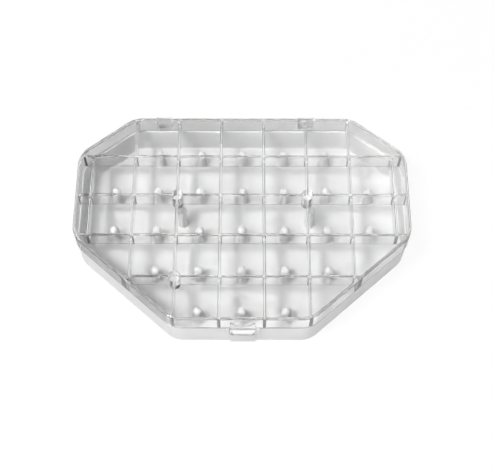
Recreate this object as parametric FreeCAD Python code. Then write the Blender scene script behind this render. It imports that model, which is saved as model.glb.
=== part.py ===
import FreeCAD, Part
import math
import os

# Hinged bobbin box. Millimetres, +Z up, +Y to the hinges, base resting on Z = 0.
# The origin is the middle of the compartment grid.

# Compartment grid
column_pitch = 23.0
row_pitch = 23.7
peg_columns_by_row = [2, 3, 3, 2, 1]
divider_columns = 6
divider_rows = 4

# Plan outline: an octagon whose sides stand off the grid. Each cut-off starts
# beside the last full compartment of its row or column.
side_margin = 7.8
end_margin = 0.45
rear_edge_margin = 2.0
front_edge_margin = 0.9
side_rear_margin = 1.25
side_front_margin = 0.75
corner_radius = 14.0

# Heights and walls
base_height = 18.0
lid_height = 12.0
base_wall = 1.5
base_floor = 1.6
lid_wall = 1.5
lid_top = 1.5
rim_setback = 0.6
base_taper = 0.1
base_bottom_radius = 0.6
base_inner_radius = 0.8
lid_edge_radius = 0.7
parting_gap = 0.3

# Lid dividers
divider_thickness = 1.0
divider_lift = 0.5
divider_end_gap = 0.2
boss_radius = 3.0
boss_gap = 0.1
boss_crossings = [(2, 3), (5, 3), (2, 1)]
end_divider_rows = [2, 3, 4]

# Pegs, and posts standing on the floor beside two divider crossings
peg_foot_radius = 2.7
peg_neck_radius = 2.4
peg_height = 11.0
post_radius = 2.5
post_edge_radius = 0.4
post_gap = 0.3
post_crossings = [(2, 3), (5, 3)]
post_offset_x = 2.1
post_offset_y = -3.55

# Hinges: centre along X and knuckle width of each
hinges = {"left": (-42.8, 6.4), "right": (35.0, 7.6)}
knuckle_radius = 1.9
knuckle_wall_gap = 0.3
pin_radius = 0.9
pin_fit_in_ear = 0.02
pin_fit_in_knuckle = 0.06
ear_side_gap = 0.2
ear_thickness = 1.4
ear_foot_drop = 7.5
ear_toe_reach = 1.3
lug_plate = 0.9
lug_shoulder_height = 3.0
lug_shoulder = 1.0
lug_gusset_height = 4.5
lug_web_reach = 1.1
lug_web_height = 1.5

# Front catch, its heights taken from the rim of the base
catch_centre = 0.5
catch_width = 13.0
tab_drop = 6.0
tab_rise = 7.5
tab_proud = 2.4
tab_lip_proud = 1.2
tab_corner_radius = 2.6
tab_scoop_radius = 6.5
tab_scoop_depth = 2.9
block_proud = 0.8
block_edge_radius = 0.25
block_bottom = 0.4
block_gap = 0.6
guide_width = 1.5
guide_gap = 0.5
guide_proud = 1.2
guide_drop = 6.5
guide_edge_radius = 0.5

# Levels and lines that follow from the sizes above
half_width = (divider_columns + 1) / 2 * column_pitch + side_margin
half_depth = (divider_rows + 1) / 2 * row_pitch + end_margin
rear_edge_half = (divider_columns - 1) / 2 * column_pitch + rear_edge_margin
front_edge_half = (divider_columns - 3) / 2 * column_pitch + front_edge_margin
side_rear_y = (divider_rows - 1) / 2 * row_pitch + side_rear_margin
side_front_y = -row_pitch / 2 - side_front_margin
total_height = base_height + lid_height
lid_bottom = base_height + parting_gap
lid_underside = total_height - lid_top
divider_bottom = base_height + divider_lift
hinge_y = half_depth + knuckle_radius + knuckle_wall_gap
tab_bottom = base_height - tab_drop
tab_top = base_height + tab_rise
middle_row = len(peg_columns_by_row) // 2
overshoot = 5.0
same_place = 1e-4


def save(name, shape):
    """Write one node."""
    shape.exportStep("parts/" + name + ".step")


def box(x0, x1, y0, y1, z0, z1):
    """A block between two corners."""
    return Part.makeBox(x1 - x0, y1 - y0, z1 - z0, FreeCAD.Vector(x0, y0, z0))


def joined(shapes):
    """Several touching or overlapping solids as one."""
    whole = shapes[0]
    for shape in shapes[1:]:
        whole = whole.fuse(shape)
    return whole.removeSplitter()


def outline_corners():
    """Corners of the plan outline, anticlockwise from the front left."""
    right = [
        (front_edge_half, -half_depth),
        (half_width, side_front_y),
        (half_width, side_rear_y),
        (rear_edge_half, half_depth),
    ]
    left = [(-x, y) for x, y in reversed(right)]
    return [left[3]] + right + left[:3]


def inset_corners(inset):
    """Outline corners with every side moved inwards by the inset."""
    corners = outline_corners()
    count = len(corners)
    sides = []
    for i in range(count):
        x0, y0 = corners[i]
        x1, y1 = corners[(i + 1) % count]
        length = math.hypot(x1 - x0, y1 - y0)
        nx = (y1 - y0) / length
        ny = -(x1 - x0) / length
        sides.append((nx, ny, nx * x0 + ny * y0 - inset))
    points = []
    for i in range(count):
        a1, b1, c1 = sides[i - 1]
        a2, b2, c2 = sides[i]
        area = a1 * b2 - a2 * b1
        points.append(((c1 * b2 - c2 * b1) / area, (a1 * c2 - a2 * c1) / area))
    return points


def outline_wire(inset, z):
    """Closed outline of eight straight sides joined by arcs, at height z."""
    points = inset_corners(inset)
    radius = corner_radius - inset
    count = len(points)
    arcs = []
    for i in range(count):
        corner = FreeCAD.Vector(points[i][0], points[i][1], z)
        before = FreeCAD.Vector(points[i - 1][0], points[i - 1][1], z) - corner
        after = FreeCAD.Vector(points[(i + 1) % count][0], points[(i + 1) % count][1], z) - corner
        before.normalize()
        after.normalize()
        half_angle = before.getAngle(after) / 2
        reach = radius / math.tan(half_angle)
        middle = before + after
        middle.normalize()
        crown = corner + middle * (radius / math.sin(half_angle) - radius)
        arcs.append((corner + before * reach, crown, corner + after * reach))
    edges = []
    for i in range(count):
        start, crown, end = arcs[i]
        edges.append(Part.Arc(start, crown, end).toShape())
        edges.append(Part.makeLine(end, arcs[(i + 1) % count][0]))
    return Part.Wire(edges)


def prism(inset, z0, z1):
    """Upright solid on the inset outline."""
    face = Part.Face(outline_wire(inset, z0))
    return face.extrude(FreeCAD.Vector(0, 0, z1 - z0))


def edges_at(shape, z):
    """Edges lying wholly at one height."""
    return [
        e for e in shape.Edges
        if abs(e.BoundBox.ZMin - z) < same_place and abs(e.BoundBox.ZMax - z) < same_place
    ]


def tapered(top_inset, z0, z1, bottom_radius):
    """Solid that narrows by the base taper down to z = 0, with a rounded bottom edge."""
    foot = top_inset + base_taper * (base_height - z0) / base_height
    head = top_inset + base_taper * (base_height - z1) / base_height
    body = Part.makeLoft([outline_wire(foot, z0), outline_wire(head, z1)], True, True)
    return body.makeFillet(bottom_radius, edges_at(body, z0))


def yz_prism(points, x0, x1):
    """Profile of (y, z) corners drawn out from x0 to x1."""
    corners = [FreeCAD.Vector(x0, y, z) for y, z in points]
    face = Part.Face(Part.makePolygon(corners + corners[:1]))
    return face.extrude(FreeCAD.Vector(x1 - x0, 0, 0))


def rod(x0, x1, radius):
    """Round bar on the hinge axis."""
    start = FreeCAD.Vector(x0, hinge_y, base_height)
    return Part.makeCylinder(radius, x1 - x0, start, FreeCAD.Vector(1, 0, 0))


def base_outer():
    """Outside of the base, before it is hollowed."""
    return tapered(rim_setback, 0.0, base_height, base_bottom_radius)


def base_tray():
    """Floor and wall of the base, one moulding."""
    hollow = tapered(rim_setback + base_wall, base_floor, base_height, base_inner_radius)
    mouth = prism(rim_setback + base_wall, base_height, base_height + overshoot)
    return base_outer().cut(hollow.fuse(mouth))


def peg():
    """Slightly tapered peg with a round tip, standing on the floor at the origin."""
    shank_height = peg_height - peg_neck_radius
    shank = Part.makeCone(peg_foot_radius, peg_neck_radius, shank_height)
    tip = Part.makeSphere(peg_neck_radius, FreeCAD.Vector(0, 0, shank_height))
    whole = shank.fuse(tip).removeSplitter()
    whole.translate(FreeCAD.Vector(0, 0, base_floor))
    return whole


def peg_row(row):
    """Pegs of one row, one at the middle of each compartment."""
    reach = peg_columns_by_row[row]
    y = (middle_row - row) * row_pitch
    pegs = []
    for column in range(-reach, reach + 1):
        one = peg()
        one.translate(FreeCAD.Vector(column * column_pitch, y, 0))
        pegs.append(one)
    return Part.makeCompound(pegs)


def crossing(column, row):
    """Middle of a divider crossing, counted from the left and from the front."""
    x = (column - (divider_columns + 1) / 2) * column_pitch
    y = (row - (divider_rows + 1) / 2) * row_pitch
    return x, y


def support_posts():
    """Posts that stop short of the lid dividers above them."""
    height = divider_bottom - post_gap - base_floor
    posts = []
    for column, row in post_crossings:
        x, y = crossing(column, row)
        start = FreeCAD.Vector(x + post_offset_x, y + post_offset_y, base_floor)
        post = Part.makeCylinder(post_radius, height, start)
        posts.append(post.makeFillet(post_edge_radius, edges_at(post, base_floor + height)))
    return Part.makeCompound(posts)


def front_piece(x0, x1, z0, z1, proud, radius):
    """Raised pad on the front wall of the base, with rounded front edges."""
    face_y = -half_depth + rim_setback - proud
    pad = box(x0, x1, face_y, -half_depth + base_wall + base_taper, z0, z1)
    front = [e for e in pad.Edges if abs(e.BoundBox.YMax - face_y) < same_place]
    return pad.makeFillet(radius, front).cut(base_outer())


def catch_block():
    """Pad under the tab, down the front of the base."""
    x0 = catch_centre - catch_width / 2
    top = tab_bottom - block_gap
    return front_piece(x0, x0 + catch_width, block_bottom, top, block_proud, block_edge_radius)


def catch_guides():
    """A small lug on the base at each side of the tab."""
    reach = catch_width / 2 + guide_gap
    spans = [
        (catch_centre - reach - guide_width, catch_centre - reach),
        (catch_centre + reach, catch_centre + reach + guide_width),
    ]
    bottom = base_height - guide_drop
    top = base_height - guide_edge_radius
    lugs = [front_piece(a, b, bottom, top, guide_proud, guide_edge_radius) for a, b in spans]
    return Part.makeCompound(lugs)


def hinge_spans(side):
    """Left and right ends along X of a hinge's knuckle and of its two ears."""
    centre, width = hinges[side]
    inner = width / 2 + ear_side_gap
    outer = inner + ear_thickness
    return (centre - width / 2, centre + width / 2), [
        (centre - outer, centre - inner),
        (centre + inner, centre + outer),
    ]


def hinge_ears(side):
    """Two ears on the rear wall of the base, each bored for the pin."""
    wall_y = half_depth - base_wall - base_taper
    foot = [
        (wall_y, base_height),
        (hinge_y + knuckle_radius, base_height),
        (hinge_y + ear_toe_reach, base_height - knuckle_radius),
        (wall_y, base_height - ear_foot_drop),
    ]
    ears = []
    for x0, x1 in hinge_spans(side)[1]:
        ear = joined([yz_prism(foot, x0, x1), rod(x0, x1, knuckle_radius)])
        ear = ear.cut(rod(x0 - overshoot, x1 + overshoot, pin_radius + pin_fit_in_ear))
        ears.append(ear.cut(base_outer()))
    return Part.makeCompound(ears)


def hinge_pin(side):
    """Pin held in the two ears, flush with their outer faces."""
    ears = hinge_spans(side)[1]
    return rod(ears[0][0], ears[1][1], pin_radius)


def hinge_lug(side):
    """Plate on the rear of the lid that ends in the knuckle between the ears."""
    x0, x1 = hinge_spans(side)[0]
    plate_y = half_depth + lug_plate
    gusset_z = base_height + lug_gusset_height
    arm = [
        (half_depth, lid_bottom),
        (hinge_y, lid_bottom),
        (hinge_y + lug_web_reach, base_height + lug_web_height),
        (plate_y, gusset_z),
        (half_depth, gusset_z),
    ]
    neck = box(x0, x1, half_depth, plate_y, lid_bottom, total_height - lid_edge_radius)
    shoulder_z = base_height + lug_shoulder_height
    wide = box(x0 - lug_shoulder, x1 + lug_shoulder, half_depth, plate_y, shoulder_z,
               total_height - lid_edge_radius)
    lug = joined([yz_prism(arm, x0, x1), rod(x0, x1, knuckle_radius), neck, wide])
    return lug.cut(rod(x0 - overshoot, x1 + overshoot, pin_radius + pin_fit_in_knuckle))


def lid_shell():
    """Top and skirt of the lid, one moulding."""
    outside = prism(0.0, lid_bottom, total_height)
    outside = outside.makeFillet(lid_edge_radius, edges_at(outside, total_height))
    return outside.cut(prism(lid_wall, lid_bottom - overshoot, lid_underside))


def divider_room():
    """Space inside the lid that the dividers fill."""
    return prism(lid_wall + divider_end_gap, divider_bottom, lid_underside)


def boss(column, row, radius):
    """Round boss at a divider crossing."""
    x, y = crossing(column, row)
    start = FreeCAD.Vector(x, y, divider_bottom)
    return Part.makeCylinder(radius, lid_underside - divider_bottom, start)


def bosses(radius):
    """All the bosses, as separate solids."""
    return Part.makeCompound([boss(column, row, radius) for column, row in boss_crossings])


def divider_along(row):
    """Divider running left to right, open where a boss stands in it."""
    y = crossing(1, row)[1]
    half = divider_thickness / 2
    bar = box(-half_width, half_width, y - half, y + half, divider_bottom, lid_underside)
    return bar.common(divider_room()).cut(bosses(boss_radius + boss_gap))


def divider_across(column):
    """Divider running front to rear, in lengths between the other dividers."""
    x = crossing(column, 1)[0]
    half = divider_thickness / 2
    bar = box(x - half, x + half, -half_depth, half_depth, divider_bottom, lid_underside)
    bar = bar.common(divider_room()).cut(bosses(boss_radius + boss_gap))
    for row in range(1, divider_rows + 1):
        y = crossing(column, row)[1]
        bar = bar.cut(box(-half_width, half_width, y - half, y + half, divider_bottom, lid_underside))
    return bar


def divider_end(column):
    """Short divider that closes the end compartments of the two widest rows."""
    x = crossing(column, 1)[0]
    half = divider_thickness / 2
    bars = []
    for row, next_row in zip(end_divider_rows, end_divider_rows[1:]):
        y0 = crossing(column, row)[1] + half
        y1 = crossing(column, next_row)[1] - half
        bars.append(box(x - half, x + half, y0, y1, divider_bottom, lid_underside))
    return Part.makeCompound(bars)


def tab_front_outline():
    """Front view of the tab: round lower corners and a scooped top, as a thick slab."""
    x0 = catch_centre - catch_width / 2
    slab = box(x0, x0 + catch_width, -half_depth - overshoot, -half_depth, tab_bottom, tab_top)
    corners = [
        e for e in slab.Edges
        if abs(e.BoundBox.ZMax - tab_bottom) < same_place and e.BoundBox.YLength > tab_proud
    ]
    slab = slab.makeFillet(tab_corner_radius, corners)
    scoop_z = tab_top - tab_scoop_depth + tab_scoop_radius
    start = FreeCAD.Vector(catch_centre, -half_depth - 2 * overshoot, scoop_z)
    scoop = Part.makeCylinder(tab_scoop_radius, 3 * overshoot, start, FreeCAD.Vector(0, 1, 0))
    return slab.cut(scoop)


def catch_tab():
    """Barrel-fronted tab hanging from the lid over the front of the base."""
    middle_z = (tab_top + tab_bottom) / 2
    half_height = (tab_top - tab_bottom) / 2
    rise = tab_proud - tab_lip_proud
    radius = (half_height ** 2 + rise ** 2) / (2 * rise)
    x0 = catch_centre - catch_width / 2
    start = FreeCAD.Vector(x0, -half_depth - tab_proud + radius, middle_z)
    barrel = Part.makeCylinder(radius, catch_width, start, FreeCAD.Vector(1, 0, 0))
    return barrel.common(tab_front_outline())


os.makedirs("parts", exist_ok=True)

save("base_tray", base_tray())
for row in range(len(peg_columns_by_row)):
    save("bobbin_pegs_row_" + str(row + 1), peg_row(row))
save("support_posts", support_posts())
save("catch_block", catch_block())
save("catch_guides", catch_guides())

save("lid_shell", lid_shell())
for row in range(1, divider_rows + 1):
    save("divider_along_" + str(row), divider_along(row))
for column in range(1, divider_columns + 1):
    save("divider_across_" + str(column), divider_across(column))
save("divider_end_left", divider_end(0))
save("divider_end_right", divider_end(divider_columns + 1))
save("divider_bosses", bosses(boss_radius))
save("catch_tab", catch_tab())

for side in hinges:
    save("hinge_ears_" + side, hinge_ears(side))
    save("hinge_pin_" + side, hinge_pin(side))
    save("hinge_lug_" + side, hinge_lug(side))
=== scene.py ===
import math

import bmesh
import bpy
import numpy as np
from mathutils.geometry import tessellate_polygon
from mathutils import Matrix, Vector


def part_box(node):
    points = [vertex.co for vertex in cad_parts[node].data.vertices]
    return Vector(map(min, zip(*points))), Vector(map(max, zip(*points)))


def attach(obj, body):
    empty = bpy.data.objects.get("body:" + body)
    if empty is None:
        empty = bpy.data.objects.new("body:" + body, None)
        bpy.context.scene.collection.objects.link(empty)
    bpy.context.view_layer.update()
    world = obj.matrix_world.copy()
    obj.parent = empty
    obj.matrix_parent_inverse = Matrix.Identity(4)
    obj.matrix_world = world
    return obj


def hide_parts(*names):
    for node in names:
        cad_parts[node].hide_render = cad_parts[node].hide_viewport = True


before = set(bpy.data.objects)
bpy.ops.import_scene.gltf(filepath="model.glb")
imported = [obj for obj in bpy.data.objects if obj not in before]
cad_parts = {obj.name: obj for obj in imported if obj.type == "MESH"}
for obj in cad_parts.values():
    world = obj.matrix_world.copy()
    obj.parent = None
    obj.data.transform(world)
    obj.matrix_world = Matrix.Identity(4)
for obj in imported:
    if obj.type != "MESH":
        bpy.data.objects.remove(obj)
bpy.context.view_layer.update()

bl_info = {
    "name": "Hinged bobbin box",
    "version": (1, 0, 0),
    "blender": (4, 5, 0),
    "location": "3D View > Sidebar > Bobbin Box",
    "description": "Clear lid, milky base and small parts of a hinged bobbin box",
    "category": "Object",
}

MM = 0.001


def node_middle(node, axis):
    """Middle of a CAD node's box along one axis."""
    low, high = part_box(node)
    return (low[axis] + high[axis]) / 2


LID_LOW, LID_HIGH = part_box("lid_shell")
TAB_LOW, TAB_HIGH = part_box("catch_tab")
TRAY_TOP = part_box("base_tray")[1].z
POST_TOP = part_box("support_posts")[1].z
PEG_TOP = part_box("bobbin_pegs_row_1")[1].z
DIVIDER_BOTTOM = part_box("divider_along_1")[0].z
COLUMN_LINES = [node_middle(f"divider_across_{i}", 0) for i in range(1, 7)]
ROW_LINES = [node_middle(f"divider_along_{i}", 1) for i in range(1, 5)]
END_LINES = [node_middle("divider_end_left", 0), node_middle("divider_end_right", 0)]
COLUMN_PITCH = COLUMN_LINES[1] - COLUMN_LINES[0]
# Pegs on each side of the middle one, from the rear row to the front
PEG_REACH_BY_ROW = [2, 3, 3, 2, 1]
# Divider crossings as (column line, row line), counted from the left and from the front
BOSS_CROSSINGS = [(1, 2), (4, 2), (1, 0)]
POST_CROSSINGS = [(1, 2), (4, 2)]
POST_OFFSET = np.array([2.1, -3.55]) * MM

# Plan outline: right-hand corners from the front to the rear, before rounding
RIGHT_CORNERS = np.array([
    (35.4 * MM, LID_LOW.y),
    (LID_HIGH.x, -12.6 * MM),
    (LID_HIGH.x, 36.8 * MM),
    (59.5 * MM, LID_HIGH.y),
])
# Turn above which a plan corner is sharp and gets rounded
SHARP_TURN = math.radians(20.0)
# Angle between faces above which their edge isn't smoothed
SMOOTH_ANGLE = math.radians(38.0)
# Upright share of a normal above which its face counts as level
LEVEL_FACE = 0.9999
# How far a fused part reaches into the skirt
ROOT_OVERLAP = 0.3 * MM
# Rounding of the pockets between the dividers, in plan and at their lower edges
POCKET_CORNER, POCKET_CORNER_STEPS, POCKET_CLEARANCE = 0.45 * MM, 5, 1.5 * MM
DIVIDER_ROUND, DIVIDER_DRAFT, DIVIDER_ROOT = 0.25 * MM, 0.05 * MM, 0.25 * MM
# A pocket is left solid if its area is below this, times a divider's half-thickness and its outline
NARROWEST_POCKET = 2.0
# Pegs and posts start this far inside the floor
FOOT_DEPTH = 0.3 * MM

# Refraction of the two plastics
CLEAR_IOR = 1.59
MILKY_IOR = 1.49
# How many times its Fresnel share a face keeps back of lamp light, inside the skirt and in it
SLANT_SHADE = 3.0
SKIRT_SHADE = 0.6
# Painted shade: tint of the dividers against the rest of the lid, darker to stand in for the dark lines that
# refraction gives them
RIB_PAINTED_SHADE = 0.98
# Share of hazy white plastic in the parts behind the rear wall and before the front wall: painted light that
# lightens the hinge lugs and the catch tab
REAR_HAZE_PAINTED_LIGHT, FRONT_HAZE_PAINTED_LIGHT = 0.6, 0.15
# Half the width of the soft edge between two regions of the lid
SOFT_EDGE = 0.3 * MM

# Directions from the box towards the lights that its plastic mirrors or lets through
WINDOW = (-0.38, -0.25, 0.89)
RIGHT_SIDE = (0.45, 0.62, 0.64)
FAR_RIGHT = (0.60, 0.45, 0.66)
# Place and width in metres, and power in watts, of the lamp that casts the shadows
KEY_PLACE, KEY_SIZE, KEY_POWER = (-0.46, -0.30, 1.07), 0.20, 12.4


class BobbinBoxSizes(bpy.types.PropertyGroup):
    """Sizes of the mouldings that a user may change"""

    corner_radius: bpy.props.FloatProperty(
        name="Corner radius", description="Radius of the eight upright corners",
        default=14.0 * MM, unit="LENGTH")
    lid_wall: bpy.props.FloatProperty(
        name="Lid wall", description="Thickness of the lid's skirt",
        default=1.5 * MM, unit="LENGTH")
    lid_top: bpy.props.FloatProperty(
        name="Lid top", description="Thickness of the lid's top",
        default=1.5 * MM, unit="LENGTH")
    lid_edge: bpy.props.FloatProperty(
        name="Lid edge", description="Radius of the lid's upper edge",
        default=1.0 * MM, unit="LENGTH")
    rib_thickness: bpy.props.FloatProperty(
        name="Divider thickness", description="Thickness of the lid's dividers",
        default=1.0 * MM, unit="LENGTH")
    boss_radius: bpy.props.FloatProperty(
        name="Boss radius", description="Radius of the round bosses at three crossings",
        default=3.0 * MM, unit="LENGTH")
    rim_setback: bpy.props.FloatProperty(
        name="Rim setback", description="Step from the lid's skirt in to the base",
        default=0.6 * MM, unit="LENGTH")
    base_taper: bpy.props.FloatProperty(
        name="Base taper", description="How far the base narrows from its rim to its foot",
        default=0.1 * MM, unit="LENGTH")
    base_wall: bpy.props.FloatProperty(
        name="Base wall", description="Thickness of the base's wall",
        default=1.5 * MM, unit="LENGTH")
    base_floor: bpy.props.FloatProperty(
        name="Base floor", description="Thickness of the base's floor",
        default=1.6 * MM, unit="LENGTH")
    peg_radius: bpy.props.FloatProperty(
        name="Peg radius", description="Radius of a peg at its round tip",
        default=2.4 * MM, unit="LENGTH")
    peg_flare: bpy.props.FloatProperty(
        name="Peg flare", description="How far a peg's foot spreads beyond its tip",
        default=1.5 * MM, unit="LENGTH")


class BobbinBoxColours(bpy.types.PropertyGroup):
    """Colours of the two plastics and of the stage"""

    lid_tint: bpy.props.FloatVectorProperty(
        name="Lid tint", description="Colour of light that passes the clear lid",
        subtype="COLOR", size=3, min=0.0, max=1.0, default=(0.975, 0.975, 0.975))
    base_tint: bpy.props.FloatVectorProperty(
        name="Base colour", description="Colour of the milky base",
        subtype="COLOR", size=3, min=0.0, max=1.0, default=(0.85, 0.85, 0.85))
    floor_tint: bpy.props.FloatVectorProperty(
        name="Floor colour", description="Colour of the studio floor",
        subtype="COLOR", size=3, min=0.0, max=1.0, default=(0.85, 0.85, 0.85))


# Plan loops: anticlockwise arrays of points, one row a point


def side_normals(loop):
    """Inward unit normal of each side: the run to the next point, made one long and turned left."""
    run = np.roll(loop, -1, axis=0) - loop
    run /= np.linalg.norm(run, axis=1, keepdims=True)
    return np.stack([-run[:, 1], run[:, 0]], axis=1)


def inward(loop):
    """Step that moves both sides at a point inwards by one.

    It is the sum of the two sides' normals, over one plus their dot product.
    """
    after = side_normals(loop)
    before = np.roll(after, 1, axis=0)
    return (before + after) / (1 + np.sum(before * after, axis=1, keepdims=True))


def inset(loop, distance):
    """Loop whose sides have all moved inwards by the distance."""
    return loop + distance * inward(loop)


def corner_turns(loop):
    """Normal before each point, and the turn from it to the normal after, by their cross and dot products."""
    after = side_normals(loop)
    before = np.roll(after, 1, axis=0)
    cross = before[:, 0] * after[:, 1] - before[:, 1] * after[:, 0]
    return before, np.arctan2(cross, np.sum(before * after, axis=1))


def rounded(loop, radius, steps):
    """Loop whose sharp corners have become arcs.

    An arc's centre is the corner moved inwards by the radius. Its points turn about the centre
    from one side's normal to the next.
    """
    before, turn = corner_turns(loop)
    angle = np.arctan2(before[:, 1], before[:, 0])[:, None] + turn[:, None] * np.linspace(0, 1, steps)
    centre = inset(loop, radius)
    arc = centre[:, None] - radius * np.stack([np.cos(angle), np.sin(angle)], axis=-1)
    sharp = turn > SHARP_TURN
    points = np.where(sharp[:, None, None], arc, loop[:, None])
    return points[sharp[:, None] | (np.arange(steps) == 0)]


def cleared(loop, reach):
    """Loop without the blunt points within reach of a sharp corner, so that it has room to be rounded."""
    sharp = corner_turns(loop)[1] > SHARP_TURN
    gap = np.linalg.norm(loop[:, None] - loop[sharp][None], axis=2).min(axis=1)
    return loop[sharp | (gap > reach)]


def clipped(loop, axis, low, high):
    """Part of a convex loop between two lines across an axis.

    Points between the lines stay, and a point is added where a side meets a line.
    """
    for sign, limit in ((-1, -low), (1, high)):
        beyond = sign * loop[:, axis] - limit
        following = np.roll(beyond, -1)
        crosses = (beyond > 0) != (following > 0)
        share = np.where(crosses, beyond / np.where(crosses, beyond - following, 1), 0)
        meeting = loop + share[:, None] * (np.roll(loop, -1, axis=0) - loop)
        pairs = np.stack([loop, meeting], axis=1)
        loop = pairs[np.stack([beyond <= 0, crosses], axis=1)]
    return loop


def box_outline(sizes):
    """Outside of the lid in plan: eight sides joined by arcs."""
    corners = np.concatenate([RIGHT_CORNERS, RIGHT_CORNERS[::-1] * (-1, 1)])
    return rounded(corners, sizes.corner_radius, 15)


def lid_cells(sizes):
    """Plan loops of the pockets between the dividers: the inner outline cut along the divider faces."""
    wall = inset(box_outline(sizes), sizes.lid_wall)
    half = sizes.rib_thickness / 2
    beyond = 2 * LID_HIGH.x
    rows = [-beyond, *ROW_LINES, beyond]
    cells = []
    for number, (front, rear) in enumerate(zip(rows, rows[1:])):
        ends = END_LINES if number in (2, 3) else []
        columns = [-beyond, *sorted([*COLUMN_LINES, *ends]), beyond]
        for left, right in zip(columns, columns[1:]):
            cell = clipped(clipped(wall, 0, left + half, right - half), 1, front + half, rear - half)
            if len(cell) < 3:
                continue
            side = np.linalg.norm(np.roll(cell, -1, axis=0) - cell, axis=1)
            cell = cell[side > 1e-6]
            following = np.roll(cell, -1, axis=0)
            area = np.sum(cell[:, 0] * following[:, 1] - cell[:, 1] * following[:, 0]) / 2
            if area < NARROWEST_POCKET * half * side.sum():
                continue
            cell = rounded(cleared(cell, POCKET_CLEARANCE), POCKET_CORNER, POCKET_CORNER_STEPS)
            for column, row in BOSS_CROSSINGS:
                centre = np.array([COLUMN_LINES[column], ROW_LINES[row]])
                cell = boss_corner(cell, centre, sizes.boss_radius, half)
            cells.append(cell)
    return cells


def boss_corner(cell, centre, radius, half_rib):
    """Cell with the points inside a boss replaced by the boss's arc, which turns clockwise about the boss."""
    offset = cell - centre
    distance = np.hypot(offset[:, 0], offset[:, 1])
    inside = distance < radius
    if not inside.any():
        return cell
    first = int(np.flatnonzero(inside & ~np.roll(inside, 1))[0])
    turned = np.roll(cell, -first, axis=0)[int(inside.sum()):]
    middle = offset[inside].mean(axis=0)
    sweep = math.pi / 4 - math.asin(half_rib / radius)
    angle = math.atan2(middle[1], middle[0]) + np.linspace(sweep, -sweep, 11)
    arc = centre + radius * np.stack([np.cos(angle), np.sin(angle)], axis=1)
    return np.concatenate([arc, turned])


# Profiles: rows of (inset, height)


def quarter(centre, radius, start, end, steps=5):
    """Arc of a profile: the centre plus the radius along directions from the start angle to the end angle."""
    angle = np.radians(np.linspace(start, end, steps))
    return np.array(centre) + radius * np.stack([np.cos(angle), np.sin(angle)], axis=1)


class Moulding:
    """Gathers rings of points and the faces between them, for one closed mesh."""

    def __init__(self):
        self.points, self.faces, self.count = [], [], 0

    def grid(self, grid, close_start=False, close_end=False):
        """Adds closed rings (rings, points, 3), with faces between them and a flat one at either end."""
        rings, around = grid.shape[:2]
        first = self.count
        ring = np.arange(rings - 1)[:, None] * around
        here = np.arange(around)
        there = (here + 1) % around
        quads = np.stack([ring + here, ring + there, ring + there + around, ring + here + around], axis=-1)
        self.faces += (first + quads.reshape(-1, 4)).tolist()
        if close_start:
            self.faces.append((first + here[::-1]).tolist())
        if close_end:
            self.faces.append((first + (rings - 1) * around + here).tolist())
        self.points.append(grid.reshape(-1, 3))
        self.count += rings * around
        return first + here

    def carry(self, loop, profile, **ends):
        """Carries a profile round a plan loop.

        Each profile point is a ring: the loop inset by its first number, at the height of its second.
        """
        step = inward(loop)
        flat = loop + profile[:, 0][:, None, None] * step
        height = np.broadcast_to(profile[:, 1][:, None, None], flat.shape[:2] + (1,))
        return self.grid(np.concatenate([flat, height], axis=2), **ends)

    def turn(self, profile, centre, around=28, **ends):
        """Turns a profile of (radius, height) about an upright axis.

        x and y are the centre plus the radius along directions spread round the circle.
        """
        angle = np.linspace(0, 2 * math.pi, around, endpoint=False)
        circle = np.stack([np.cos(angle), np.sin(angle)], axis=1)
        flat = np.array(centre) + profile[:, 0][:, None, None] * circle
        height = np.broadcast_to(profile[:, 1][:, None, None], flat.shape[:2] + (1,))
        return self.grid(np.concatenate([flat, height], axis=2), **ends)

    def fill(self, loops):
        """Fills the flat region between an outer loop of points and the loops inside it."""
        points = np.concatenate(self.points)
        order = np.concatenate(loops)
        corners = [[tuple(p) for p in points[loop]] for loop in loops]
        self.faces += order[np.array(tessellate_polygon(corners))].tolist()

    def shape(self, name):
        """Makes the object, its faces turned outwards."""
        mesh = bpy.data.meshes.new(name)
        mesh.from_pydata(np.concatenate(self.points).tolist(), [], self.faces)
        work = bmesh.new()
        work.from_mesh(mesh)
        bmesh.ops.recalc_face_normals(work, faces=work.faces)
        work.to_mesh(mesh)
        work.free()
        piece = bpy.data.objects.new(name, mesh)
        bpy.context.scene.collection.objects.link(piece)
        return piece


def fuse(piece, others):
    """Makes the piece one closed moulding with the other shapes, and removes them."""
    for other in others:
        union = piece.modifiers.new("Union", "BOOLEAN")
        union.operation, union.solver, union.object = "UNION", "MANIFOLD", other
    whole = bpy.data.meshes.new_from_object(piece.evaluated_get(bpy.context.evaluated_depsgraph_get()))
    piece.modifiers.clear()
    piece.data = whole
    for other in others:
        bpy.data.meshes.remove(other.data)


def border_level_faces(mesh):
    """Makes the border of every level face sharp, so that rounded edges beside it don't bend its shading."""
    normals = np.empty(len(mesh.polygons) * 3)
    sides = np.empty(len(mesh.polygons), dtype=np.int32)
    edges = np.empty(len(mesh.loops), dtype=np.int32)
    sharp = np.empty(len(mesh.edges), dtype=bool)
    mesh.polygons.foreach_get("normal", normals)
    mesh.polygons.foreach_get("loop_total", sides)
    mesh.loops.foreach_get("edge_index", edges)
    mesh.edges.foreach_get("use_edge_sharp", sharp)
    level = np.abs(normals.reshape(-1, 3)[:, 2]) > LEVEL_FACE
    beside = np.bincount(edges, weights=np.repeat(level, sides), minlength=len(sharp))
    mesh.edges.foreach_set("use_edge_sharp", sharp | (beside == 1))


def complete(piece, material, body, replaced):
    mesh = piece.data
    mesh.shade_smooth()
    mesh.set_sharp_from_angle(angle=SMOOTH_ANGLE)
    border_level_faces(mesh)
    weigh = piece.modifiers.new("Flat faces stay flat", "WEIGHTED_NORMAL")
    weigh.keep_sharp = True
    weigh.weight = 100
    mesh.materials.clear()
    mesh.materials.append(material)
    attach(piece, body)
    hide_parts(*replaced)


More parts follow.
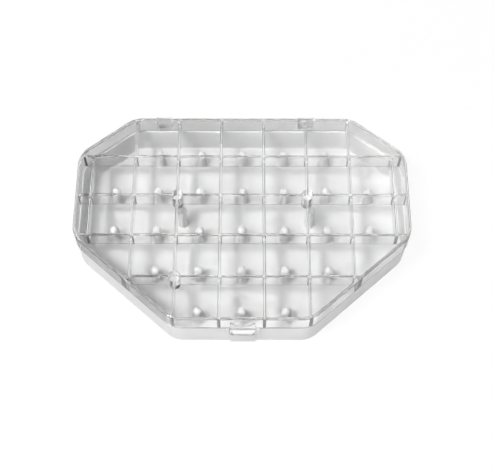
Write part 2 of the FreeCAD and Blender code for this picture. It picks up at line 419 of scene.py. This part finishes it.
def merged_copy(node, name):
    """Copy of a CAD node with its loose triangles joined along their edges."""
    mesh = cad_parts[node].data.copy()
    work = bmesh.new()
    work.from_mesh(mesh)
    bmesh.ops.remove_doubles(work, verts=work.verts, dist=0.001 * MM)
    work.to_mesh(mesh)
    work.free()
    copy = bpy.data.objects.new(name, mesh)
    bpy.context.scene.collection.objects.link(copy)
    return copy


# Shaders


class Wire:
    """A shader output that takes part in arithmetic; each step adds a Math node."""

    def __init__(self, graph, socket):
        self.graph, self.socket = graph, socket

    def _math(self, operation, first, second):
        return self.graph.add("ShaderNodeMath", {"operation": operation}, {0: first, 1: second})

    def __add__(self, other):
        return self._math("ADD", self, other)

    def __radd__(self, other):
        return self._math("ADD", other, self)

    def __sub__(self, other):
        return self._math("SUBTRACT", self, other)

    def __rsub__(self, other):
        return self._math("SUBTRACT", other, self)

    def __mul__(self, other):
        return self._math("MULTIPLY", self, other)

    def __rmul__(self, other):
        return self._math("MULTIPLY", other, self)


class Graph:
    """The node tree of a material or of the world, emptied."""

    def __init__(self, owner):
        owner.use_nodes = True
        self.tree = owner.node_tree
        self.tree.nodes.clear()

    def add(self, kind, settings=None, sockets=None, output=0):
        """Adds a node: its settings first, then the values or links of its sockets. Returns one output."""
        node = self.tree.nodes.new(kind)
        for name, value in (settings or {}).items():
            setattr(node, name, value)
        for name, value in (sockets or {}).items():
            if isinstance(value, Wire):
                self.tree.links.new(value.socket, node.inputs[name])
            else:
                node.inputs[name].default_value = value
        return Wire(self, node.outputs[output]) if len(node.outputs) else None

    def step(self, value, limit, side):
        """1 beyond the limit on the side given by the sign, 0 before it, with a soft edge."""
        start, end = side * limit - SOFT_EDGE, side * limit + SOFT_EDGE
        return self.add("ShaderNodeMapRange", None, {0: side * value, 1: start, 2: end, 3: 0.0, 4: 1.0})

    def brightest(self, first, second):
        """The greater of two values."""
        return self.add("ShaderNodeMath", {"operation": "MAXIMUM"}, {0: first, 1: second})

    def blend(self, share, first, second):
        """A colour part way from the first to the second."""
        return self.add("ShaderNodeMix", {"data_type": "RGBA"},
                        {"Factor": share, 6: first, 7: second}, 2)


def opaque(colour):
    """A colour with full alpha."""
    return (*colour, 1.0)


def clear_plastic(colours):
    """Clear, glossy polystyrene with faint flow marks and a haze of fine scratches in its polish.

    Inside the skirt the dividers are a little darker, which is painted shade, and the hinge lugs and the
    catch tab are partly covered in hazy white plastic, which lightens them as painted light. Lamps shine
    through it, less where a face slants away from them.
    """
    material = bpy.data.materials.new("clear_plastic")
    graph = Graph(material)
    place = graph.add("ShaderNodeTexCoord", output="Object")
    flow = graph.add("ShaderNodeTexNoise", None, {"Vector": place, "Scale": 55.0, "Detail": 2.0})
    scratches = graph.add("ShaderNodeTexNoise", None, {"Vector": place, "Scale": 420.0, "Detail": 4.0})
    bump = graph.add("ShaderNodeBump", None, {"Strength": 0.015, "Distance": 0.12 * MM, "Height": flow})
    across = graph.add("ShaderNodeSeparateXYZ", None, {0: place}, 0)
    along = Wire(graph, across.socket.node.outputs["Y"])
    up = Wire(graph, across.socket.node.outputs["Z"])
    side_skirt, end_skirt, top_depth = 2.4 * MM, 2.0 * MM, 1.7 * MM
    inner = graph.step(across, LID_LOW.x + side_skirt, 1) * graph.step(across, LID_HIGH.x - side_skirt, -1)
    inner = inner * graph.step(along, LID_LOW.y + end_skirt, 1)
    inner = inner * graph.step(along, LID_HIGH.y - end_skirt, -1)
    # Painted shade: the dividers, below the lid's top and inside the skirt, get a darker tint than the rest
    painted_shade_mask = inner * graph.step(up, LID_HIGH.z - top_depth, -1)
    divider_painted_shade = [RIB_PAINTED_SHADE * part for part in colours.lid_tint]
    glass = graph.add("ShaderNodeBsdfPrincipled", None, {
        "Base Color": graph.blend(painted_shade_mask, opaque(colours.lid_tint), opaque(divider_painted_shade)),
        "Roughness": 0.012 + 0.02 * scratches,
        "IOR": CLEAR_IOR,
        "Transmission Weight": 1.0,
        "Normal": bump,
    })
    lamp_ray = graph.add("ShaderNodeLightPath", output="Is Shadow Ray")
    slant = graph.add("ShaderNodeFresnel", None, {"IOR": CLEAR_IOR})
    passing = graph.add("ShaderNodeBsdfTransparent", None, {"Color": (1.0, 1.0, 1.0, 1.0)})
    # Painted light: a hazy white surface, mixed in behind the rear wall and before the front wall, lightens
    # the hinge lugs and the catch tab where the clear plastic renders dark
    hazy_painted_light = graph.add("ShaderNodeBsdfPrincipled", None, {
        "Base Color": (0.97, 0.97, 0.97, 1.0),
        "Roughness": 0.3 + 0.1 * scratches,
        "IOR": CLEAR_IOR,
    })
    outside = 0.2 * MM
    haze_painted_light_share = REAR_HAZE_PAINTED_LIGHT * graph.step(along, LID_HIGH.y + outside, 1)
    haze_painted_light_share = haze_painted_light_share + FRONT_HAZE_PAINTED_LIGHT * graph.step(along, LID_LOW.y - outside, -1)
    body = graph.add("ShaderNodeMixShader", None, {0: haze_painted_light_share, 1: glass, 2: hazy_painted_light})
    kept_back = (SKIRT_SHADE + (SLANT_SHADE - SKIRT_SHADE) * inner) * slant
    mixed = graph.add("ShaderNodeMixShader", None, {0: lamp_ray * (1 - kept_back), 1: body, 2: passing})
    graph.add("ShaderNodeOutputMaterial", None, {"Surface": mixed})
    return material


def milky_plastic(name, colour, through, rough):
    """Milky polypropylene: soft white that lets part of the light through, with a satin surface."""
    material = bpy.data.materials.new(name)
    graph = Graph(material)
    place = graph.add("ShaderNodeTexCoord", output="Object")
    cloud = graph.add("ShaderNodeTexNoise", None, {"Vector": place, "Scale": 30.0, "Detail": 3.0})
    grain = graph.add("ShaderNodeTexNoise", None, {"Vector": place, "Scale": 900.0, "Detail": 3.0})
    bump = graph.add("ShaderNodeBump", None, {"Strength": 0.2, "Distance": 0.04 * MM, "Height": grain})
    tint = graph.blend(cloud, opaque([0.97 * part for part in colour]), opaque(colour))
    satin = graph.add("ShaderNodeBsdfPrincipled", None, {
        "Base Color": tint,
        "Roughness": rough + 0.12 * grain,
        "IOR": MILKY_IOR,
        "Normal": bump,
    })
    glow = graph.add("ShaderNodeBsdfTranslucent", None, {"Color": opaque(colour), "Normal": bump})
    mixed = graph.add("ShaderNodeMixShader", None, {0: through, 1: satin, 2: glow})
    graph.add("ShaderNodeOutputMaterial", None, {"Surface": mixed})
    return material


class BobbinBoxOperator:
    """What every operator of the box shares."""

    bl_options = {"REGISTER"}

    def execute(self, context):
        self.build(context.scene.bobbin_box_sizes, context.scene.bobbin_box_colours)
        return {"FINISHED"}


def clear(colours):
    """The lid's plastic, made the first time that it is asked for."""
    return bpy.data.materials.get("clear_plastic") or clear_plastic(colours)


def milky(colours):
    """The base's plastic where its walls are thin."""
    name = "milky_plastic"
    return bpy.data.materials.get(name) or milky_plastic(name, colours.base_tint, 0.4, 0.28)


def milky_painted_shade(colours):
    """The base's plastic where it is thick: a little darker, which is painted shade, rougher, and less light
    comes through.
    """
    name = "milky_plastic_painted_shade"
    # Painted shade: a darker copy of the milky plastic, so that the pegs' tips light up less
    tint = [0.93 * part for part in colours.base_tint]
    return bpy.data.materials.get(name) or milky_plastic(name, tint, 0.2, 0.42)


class BOBBINBOX_OT_lid(BobbinBoxOperator, bpy.types.Operator):
    """Make the clear lid moulding: top, skirt, dividers and bosses"""

    bl_idname = "bobbinbox.lid"
    bl_label = "Lid moulding"

    def build(self, sizes, colours):
        outline = box_outline(sizes)
        edge, lip, ledge = sizes.lid_edge, 0.25 * MM, 1.0 * MM
        skirt_end, rib_end, top = LID_LOW.z, DIVIDER_BOTTOM, LID_HIGH.z
        outside = np.concatenate([
            [(ledge, rib_end), (ledge, skirt_end)],
            quarter((lip, skirt_end + lip), lip, -90, -180),
            quarter((edge, top - edge), edge, 180, 90, 8),
        ])
        lid = Moulding()
        loops = [lid.carry(outline, outside, close_end=True)]
        ceiling = top - sizes.lid_top
        pocket = np.concatenate([
            quarter((-DIVIDER_ROUND, rib_end + DIVIDER_ROUND), DIVIDER_ROUND, -90, 0, 4),
            quarter((DIVIDER_DRAFT + DIVIDER_ROOT, ceiling - DIVIDER_ROOT), DIVIDER_ROOT, 180, 90, 5),
        ])
        for cell in lid_cells(sizes):
            loops.append(lid.carry(cell, pocket, close_end=True))
        lid.fill(loops)
        names = ["lid_shell", "divider_bosses", "divider_end_left", "divider_end_right", "catch_tab",
                 "hinge_lug_left", "hinge_lug_right"]
        names += [f"divider_along_{i}" for i in range(1, 5)]
        names += [f"divider_across_{i}" for i in range(1, 7)]
        piece = lid.shape("lid_moulding")
        fuse(piece, [self.tab(), self.lug("hinge_lug_left"), self.lug("hinge_lug_right")])
        complete(piece, clear(colours), "lid", names)

    def lug(self, node):
        """A hinge lug, its flat back moved a little into the skirt."""
        lug = merged_copy(node, node + "_part")
        points = np.empty(len(lug.data.vertices) * 3)
        lug.data.vertices.foreach_get("co", points)
        points = points.reshape(-1, 3)
        points[points[:, 1] < LID_HIGH.y + 0.01 * MM, 1] -= ROOT_OVERLAP
        lug.data.vertices.foreach_set("co", points.ravel())
        return lug

    def tab(self):
        """Catch tab as two facing grids, its back flat and reaching a little into the skirt.

        x runs from side to side, closer towards the ends. z runs from the lower edge, whose corners
        are quarter circles, up to the top, scooped by a circle. The front is a thin plate that swells
        smoothly into a bead above the lower edge, and falls away along a quarter circle at its borders.
        """
        x0, x1, z0, z1 = TAB_LOW.x, TAB_HIGH.x, TAB_LOW.z, TAB_HIGH.z
        back, proud, plate = TAB_HIGH.y, TAB_HIGH.y - TAB_LOW.y, 0.6 * MM
        corner, scoop, depth, edge = 2.6 * MM, 6.5 * MM, 2.9 * MM, 0.6 * MM
        across, up = 61, 41
        u = (1 - np.cos(np.linspace(0, math.pi, across))) / 2
        v = (1 - np.cos(np.linspace(0, math.pi, up))) / 2
        x = x0 + (x1 - x0) * u
        from_end = np.minimum(x - x0, x1 - x)
        into_corner = np.clip(corner - from_end, 0, corner)
        low = z0 + corner - np.sqrt(corner ** 2 - into_corner ** 2)
        from_middle = np.abs(x - (x0 + x1) / 2)
        reach = math.sqrt(scoop ** 2 - (scoop - depth) ** 2)
        bowl = np.sqrt(scoop ** 2 - np.minimum(from_middle, reach) ** 2)
        high = z1 - np.where(from_middle < reach, bowl - (scoop - depth), 0)
        z = low + (high - low) * v[:, None]
        crest, shoulder = z0 + 2.4 * MM, z0 + 7.5 * MM
        rise = np.clip((shoulder - z) / (shoulder - crest), 0, 1)
        barrel = plate + (proud - plate) * rise ** 2 * (3 - 2 * rise)
        to_side = np.minimum(from_end, edge) / edge
        to_end = np.minimum(np.clip((z - low) / (crest - z0), 0, 1), np.clip((high - z) / edge, 0, 1))
        fall = np.sqrt(np.clip(1 - (1 - to_side) ** 2, 0, 1)) * np.sqrt(np.clip(1 - (1 - to_end) ** 2, 0, 1))
        front = np.stack([np.broadcast_to(x, z.shape), back - barrel * (0.25 + 0.75 * fall), z], axis=-1)
        rear = front.copy()
        rear[..., 1] = back + ROOT_OVERLAP
        tab = Moulding()
        self.slab(tab, front, rear)
        return tab.shape("catch_tab_part")

    def slab(self, piece, front, rear):
        """Closes two facing grids: faces fill each grid, and a ring of faces joins their borders."""
        rows, columns = front.shape[:2]
        index = np.arange(rows * columns).reshape(rows, columns)
        quads = np.stack([index[:-1, :-1], index[:-1, 1:], index[1:, 1:], index[1:, :-1]], axis=-1)
        quads = quads.reshape(-1, 4)
        border = np.concatenate([index[0, :-1], index[:-1, -1], index[-1, :0:-1], index[:0:-1, 0]])
        following = np.roll(border, -1)
        count = rows * columns
        piece.faces += quads.tolist()
        piece.faces += (quads[:, ::-1] + count).tolist()
        piece.faces += np.stack([border, border + count, following + count, following], axis=1).tolist()
        piece.points += [front.reshape(-1, 3), rear.reshape(-1, 3)]
        piece.count += 2 * count


class BOBBINBOX_OT_tray(BobbinBoxOperator, bpy.types.Operator):
    """Make the milky base tray"""

    bl_idname = "bobbinbox.tray"
    bl_label = "Base tray"

    def build(self, sizes, colours):
        outline = box_outline(sizes)
        top = TRAY_TOP
        heel, cove, lip = 0.6 * MM, 0.8 * MM, 0.3 * MM
        rim, foot = sizes.rim_setback, sizes.rim_setback + sizes.base_taper
        wall, floor = sizes.base_wall, sizes.base_floor
        profile = np.concatenate([
            quarter((foot + heel, heel), heel, -90, -180, 9),
            quarter((rim + lip, top - lip), lip, 180, 90, 4),
            quarter((rim + wall - lip, top - lip), lip, 90, 0, 4),
            quarter((foot + wall + cove, floor + cove), cove, 180, 270, 7),
        ])
        tray = Moulding()
        tray.carry(outline, profile, close_start=True, close_end=True)
        complete(tray.shape("tray_moulding"), milky(colours), "base", ["base_tray"])


class BOBBINBOX_OT_pegs(BobbinBoxOperator, bpy.types.Operator):
    """Make the rows of round-tipped pegs"""

    bl_idname = "bobbinbox.pegs"
    bl_label = "Pegs"

    def build(self, sizes, colours):
        floor, radius, flare = sizes.base_floor, sizes.peg_radius, sizes.peg_flare
        draft = 0.2 * MM
        tip = PEG_TOP
        profile = np.concatenate([
            [(radius + flare, floor - FOOT_DEPTH)],
            quarter((radius + flare + draft, floor + flare), flare, 270, 180, 8),
            quarter((0, tip - radius), radius, 0, 88, 9),
        ])
        for number, reach in enumerate(PEG_REACH_BY_ROW, start=1):
            node = f"bobbin_pegs_row_{number}"
            row = Moulding()
            y = node_middle(node, 1)
            for column in range(-reach, reach + 1):
                row.turn(profile, (column * COLUMN_PITCH, y), close_start=True, close_end=True)
            complete(row.shape(f"pegs_row_{number}"), milky_painted_shade(colours), "base", [node])


class BOBBINBOX_OT_posts(BobbinBoxOperator, bpy.types.Operator):
    """Make the two support posts under the lid's dividers"""

    bl_idname = "bobbinbox.posts"
    bl_label = "Support posts"

    def build(self, sizes, colours):
        radius, crown, fillet = 2.5 * MM, 0.9 * MM, 0.6 * MM
        floor, top = sizes.base_floor, POST_TOP
        profile = np.concatenate([
            [(radius + fillet, floor - FOOT_DEPTH)],
            quarter((radius + fillet, floor + fillet), fillet, 270, 180, 5),
            quarter((radius - crown, top - crown), crown, 0, 90, 7),
        ])
        posts = Moulding()
        for column, row in POST_CROSSINGS:
            centre = np.array([COLUMN_LINES[column], ROW_LINES[row]]) + POST_OFFSET
            posts.turn(profile, centre, close_start=True, close_end=True)
        complete(posts.shape("posts"), milky(colours), "base", ["support_posts"])


class BOBBINBOX_OT_small_parts(BobbinBoxOperator, bpy.types.Operator):
    """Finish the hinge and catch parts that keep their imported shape"""

    bl_idname = "bobbinbox.small_parts"
    bl_label = "Hinge and catch parts"

    def build(self, sizes, colours):
        milky_nodes = ["catch_block", "catch_guides", "hinge_ears_left", "hinge_ears_right",
                       "hinge_pin_left", "hinge_pin_right"]
        for name in milky_nodes:
            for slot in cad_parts[name].material_slots:
                slot.material = milky(colours)


class BOBBINBOX_OT_stage(BobbinBoxOperator, bpy.types.Operator):
    """Make the floor, the lamps, the surroundings and the camera"""

    bl_idname = "bobbinbox.stage"
    bl_label = "Stage"

    def build(self, sizes, colours):
        scene = bpy.context.scene
        scene.view_settings.view_transform = "Standard"
        scene.cycles.max_bounces = 20
        scene.cycles.glossy_bounces = 10
        scene.cycles.transmission_bounces = 16
        self.camera(scene)
        self.floor(colours)
        self.surroundings(scene)
        self.lamp("key_lamp", KEY_PLACE, KEY_SIZE, KEY_POWER)

    def camera(self, scene):
        """A long lens above and before the box."""
        lens = bpy.data.cameras.new("camera")
        lens.lens, lens.sensor_width = 75.2, 36.0
        lens.clip_start, lens.clip_end = 0.01, 20.0
        camera = bpy.data.objects.new("camera", lens)
        camera.location = (2.57 * MM, -255.3 * MM, 505.4 * MM)
        camera.rotation_mode = "ZYX"
        camera.rotation_euler = (math.radians(27.053), 0.0, math.radians(0.118))
        scene.collection.objects.link(camera)
        scene.camera = camera

    def floor(self, colours):
        """Pale floor that takes the box's shadow, and is mostly self-lit to the camera and the plastic; to
        the plastic it shows a painted shadow beneath the box.
        """
        mesh = bpy.data.meshes.new("floor")
        reach, level = 3.0, -0.05 * MM
        signs = [(-1, -1), (1, -1), (1, 1), (-1, 1)]
        mesh.from_pydata([(x * reach, y * reach, level) for x, y in signs], [], [(0, 1, 2, 3)])
        floor = bpy.data.objects.new("floor", mesh)
        bpy.context.scene.collection.objects.link(floor)
        material = bpy.data.materials.new("floor_paper")
        graph = Graph(material)
        path, gloss, through = self.ray_kinds(graph)
        seen = graph.brightest(graph.brightest(path, gloss), through)
        paper = graph.add("ShaderNodeBsdfDiffuse", None, {"Color": opaque(colours.floor_tint)})
        place = graph.add("ShaderNodeTexCoord", output="Object")
        forward = graph.add("ShaderNodeSeparateXYZ", None, {0: place}, 1)
        # Painted shadow: to mirrored rays and rays through the plastic the floor is white before the box,
        # 0.58 grey beneath it and 0.95 behind it
        before = graph.add("ShaderNodeMapRange", None, {0: forward, 1: -0.064, 2: -0.056, 3: 1.0, 4: 0.58})
        beyond = graph.add("ShaderNodeMapRange", None, {0: forward, 1: 0.075, 2: 0.10, 3: 0.0, 4: 0.95})
        painted_floor_shadow = graph.brightest(before, beyond)
        painted_floor_shadow = graph.add("ShaderNodeCombineColor", None, {0: painted_floor_shadow, 1: painted_floor_shadow, 2: painted_floor_shadow})
        shade = graph.blend(path, painted_floor_shadow, opaque((1, 1, 1)))
        white = graph.add("ShaderNodeEmission", None, {"Color": shade, "Strength": 1.0})
        mixed = graph.add("ShaderNodeMixShader", None, {0: 0.92 * seen, 1: paper, 2: white})
        graph.add("ShaderNodeOutputMaterial", None, {"Surface": mixed})
        mesh.materials.append(material)

    def ray_kinds(self, graph):
        """Whether a ray comes straight from the camera, from a mirroring face or through the plastic."""
        path = graph.add("ShaderNodeLightPath", output="Is Camera Ray")
        gloss = Wire(graph, path.socket.node.outputs["Is Glossy Ray"])
        through = Wire(graph, path.socket.node.outputs["Is Transmission Ray"])
        return path, gloss, through

    def surroundings(self, scene):
        """White to the camera; otherwise a soft room, with patches that the plastic mirrors or lets through.

        A ray through the plastic counts as glossy too, so gloss is taken without it.
        """
        world = bpy.data.worlds.new("studio")
        scene.world = world
        graph = Graph(world)
        path, gloss, through = self.ray_kinds(graph)
        direction = graph.add("ShaderNodeTexCoord", output="Generated")
        height = graph.add("ShaderNodeSeparateXYZ", None, {0: direction}, 2)
        room = graph.add("ShaderNodeMapRange", None, {0: height, 1: 0.0, 2: 0.8, 3: 0.42, 4: 0.22})
        room = room + self.glow(graph, direction, (0.30, -0.95, 0.05), 0.35, 1.0)
        room = room + self.glow(graph, direction, (-0.90, 0.15, 0.25), 0.30, 0.60)
        window = self.glow(graph, direction, WINDOW, 0.955, 2.2)
        mirrored = graph.add("ShaderNodeMapRange", None, {0: height, 1: 0.0, 2: 0.35, 3: 0.75, 4: 0.12})
        mirrored = mirrored + window + self.glow(graph, direction, RIGHT_SIDE, 0.84, 5.0)
        behind = graph.add("ShaderNodeMapRange", None, {0: height, 1: 0.0, 2: 0.28, 3: 0.43, 4: 0.0})
        behind = behind + window + self.glow(graph, direction, WINDOW, 0.98, 7.0)
        behind = behind + self.glow(graph, direction, FAR_RIGHT, 0.80, 0.8)
        gloss = gloss * (1 - through)
        strength = room * (1 - gloss - through) + mirrored * gloss + behind * through
        air = graph.add("ShaderNodeBackground", None, {"Color": (1, 1, 1, 1), "Strength": strength})
        white = graph.add("ShaderNodeBackground", None, {"Color": (1, 1, 1, 1), "Strength": 1.0})
        mixed = graph.add("ShaderNodeMixShader", None, {0: path, 1: air, 2: white})
        graph.add("ShaderNodeOutputWorld", None, {"Surface": mixed})

    def glow(self, graph, direction, middle, edge, strength):
        """A soft patch of light round a direction.

        It rises smoothly from nothing, where the cosine to its middle is the edge, to its strength.
        """
        middle = np.array(middle) / np.linalg.norm(middle)
        dot = {"operation": "DOT_PRODUCT"}
        cosine = graph.add("ShaderNodeVectorMath", dot, {0: direction, 1: tuple(middle)}, 1)
        return graph.add("ShaderNodeMapRange", {"interpolation_type": "SMOOTHSTEP"},
                         {0: cosine, 1: edge, 2: 1.0, 3: 0.0, 4: strength})

    def lamp(self, name, place, width, power):
        """A soft lamp turned towards the box."""
        light = bpy.data.lights.new(name, "AREA")
        light.shape, light.size, light.size_y, light.energy = "RECTANGLE", width, width, power
        lamp = bpy.data.objects.new(name, light)
        lamp.location = place
        aim = -lamp.location
        lamp.rotation_mode = "QUATERNION"
        lamp.rotation_quaternion = aim.to_track_quat("-Z", "Y")
        lamp.visible_camera = False
        lamp.visible_transmission = False
        bpy.context.scene.collection.objects.link(lamp)


class BOBBINBOX_PT_panel(bpy.types.Panel):
    """Lists the box's pieces and its settings"""

    bl_idname = "BOBBINBOX_PT_panel"
    bl_label = "Bobbin Box"
    bl_space_type = "VIEW_3D"
    bl_region_type = "UI"
    bl_category = "Bobbin Box"

    def draw(self, context):
        for operator in OPERATORS:
            self.layout.operator(operator.bl_idname)
        for group in (context.scene.bobbin_box_sizes, context.scene.bobbin_box_colours):
            for name in group.__annotations__:
                self.layout.prop(group, name)


OPERATORS = (
    BOBBINBOX_OT_stage,
    BOBBINBOX_OT_tray,
    BOBBINBOX_OT_pegs,
    BOBBINBOX_OT_posts,
    BOBBINBOX_OT_lid,
    BOBBINBOX_OT_small_parts,
)
CLASSES = (BobbinBoxSizes, BobbinBoxColours, *OPERATORS, BOBBINBOX_PT_panel)


def register():
    for kind in CLASSES:
        bpy.utils.register_class(kind)
    bpy.types.Scene.bobbin_box_sizes = bpy.props.PointerProperty(type=BobbinBoxSizes)
    bpy.types.Scene.bobbin_box_colours = bpy.props.PointerProperty(type=BobbinBoxColours)


def unregister():
    del bpy.types.Scene.bobbin_box_colours
    del bpy.types.Scene.bobbin_box_sizes
    for kind in reversed(CLASSES):
        bpy.utils.unregister_class(kind)


def main():
    """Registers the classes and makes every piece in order."""
    register()
    for operator in OPERATORS:
        group, name = operator.bl_idname.split(".")
        getattr(getattr(bpy.ops, group), name)()


if __name__ == "__main__":
    main()
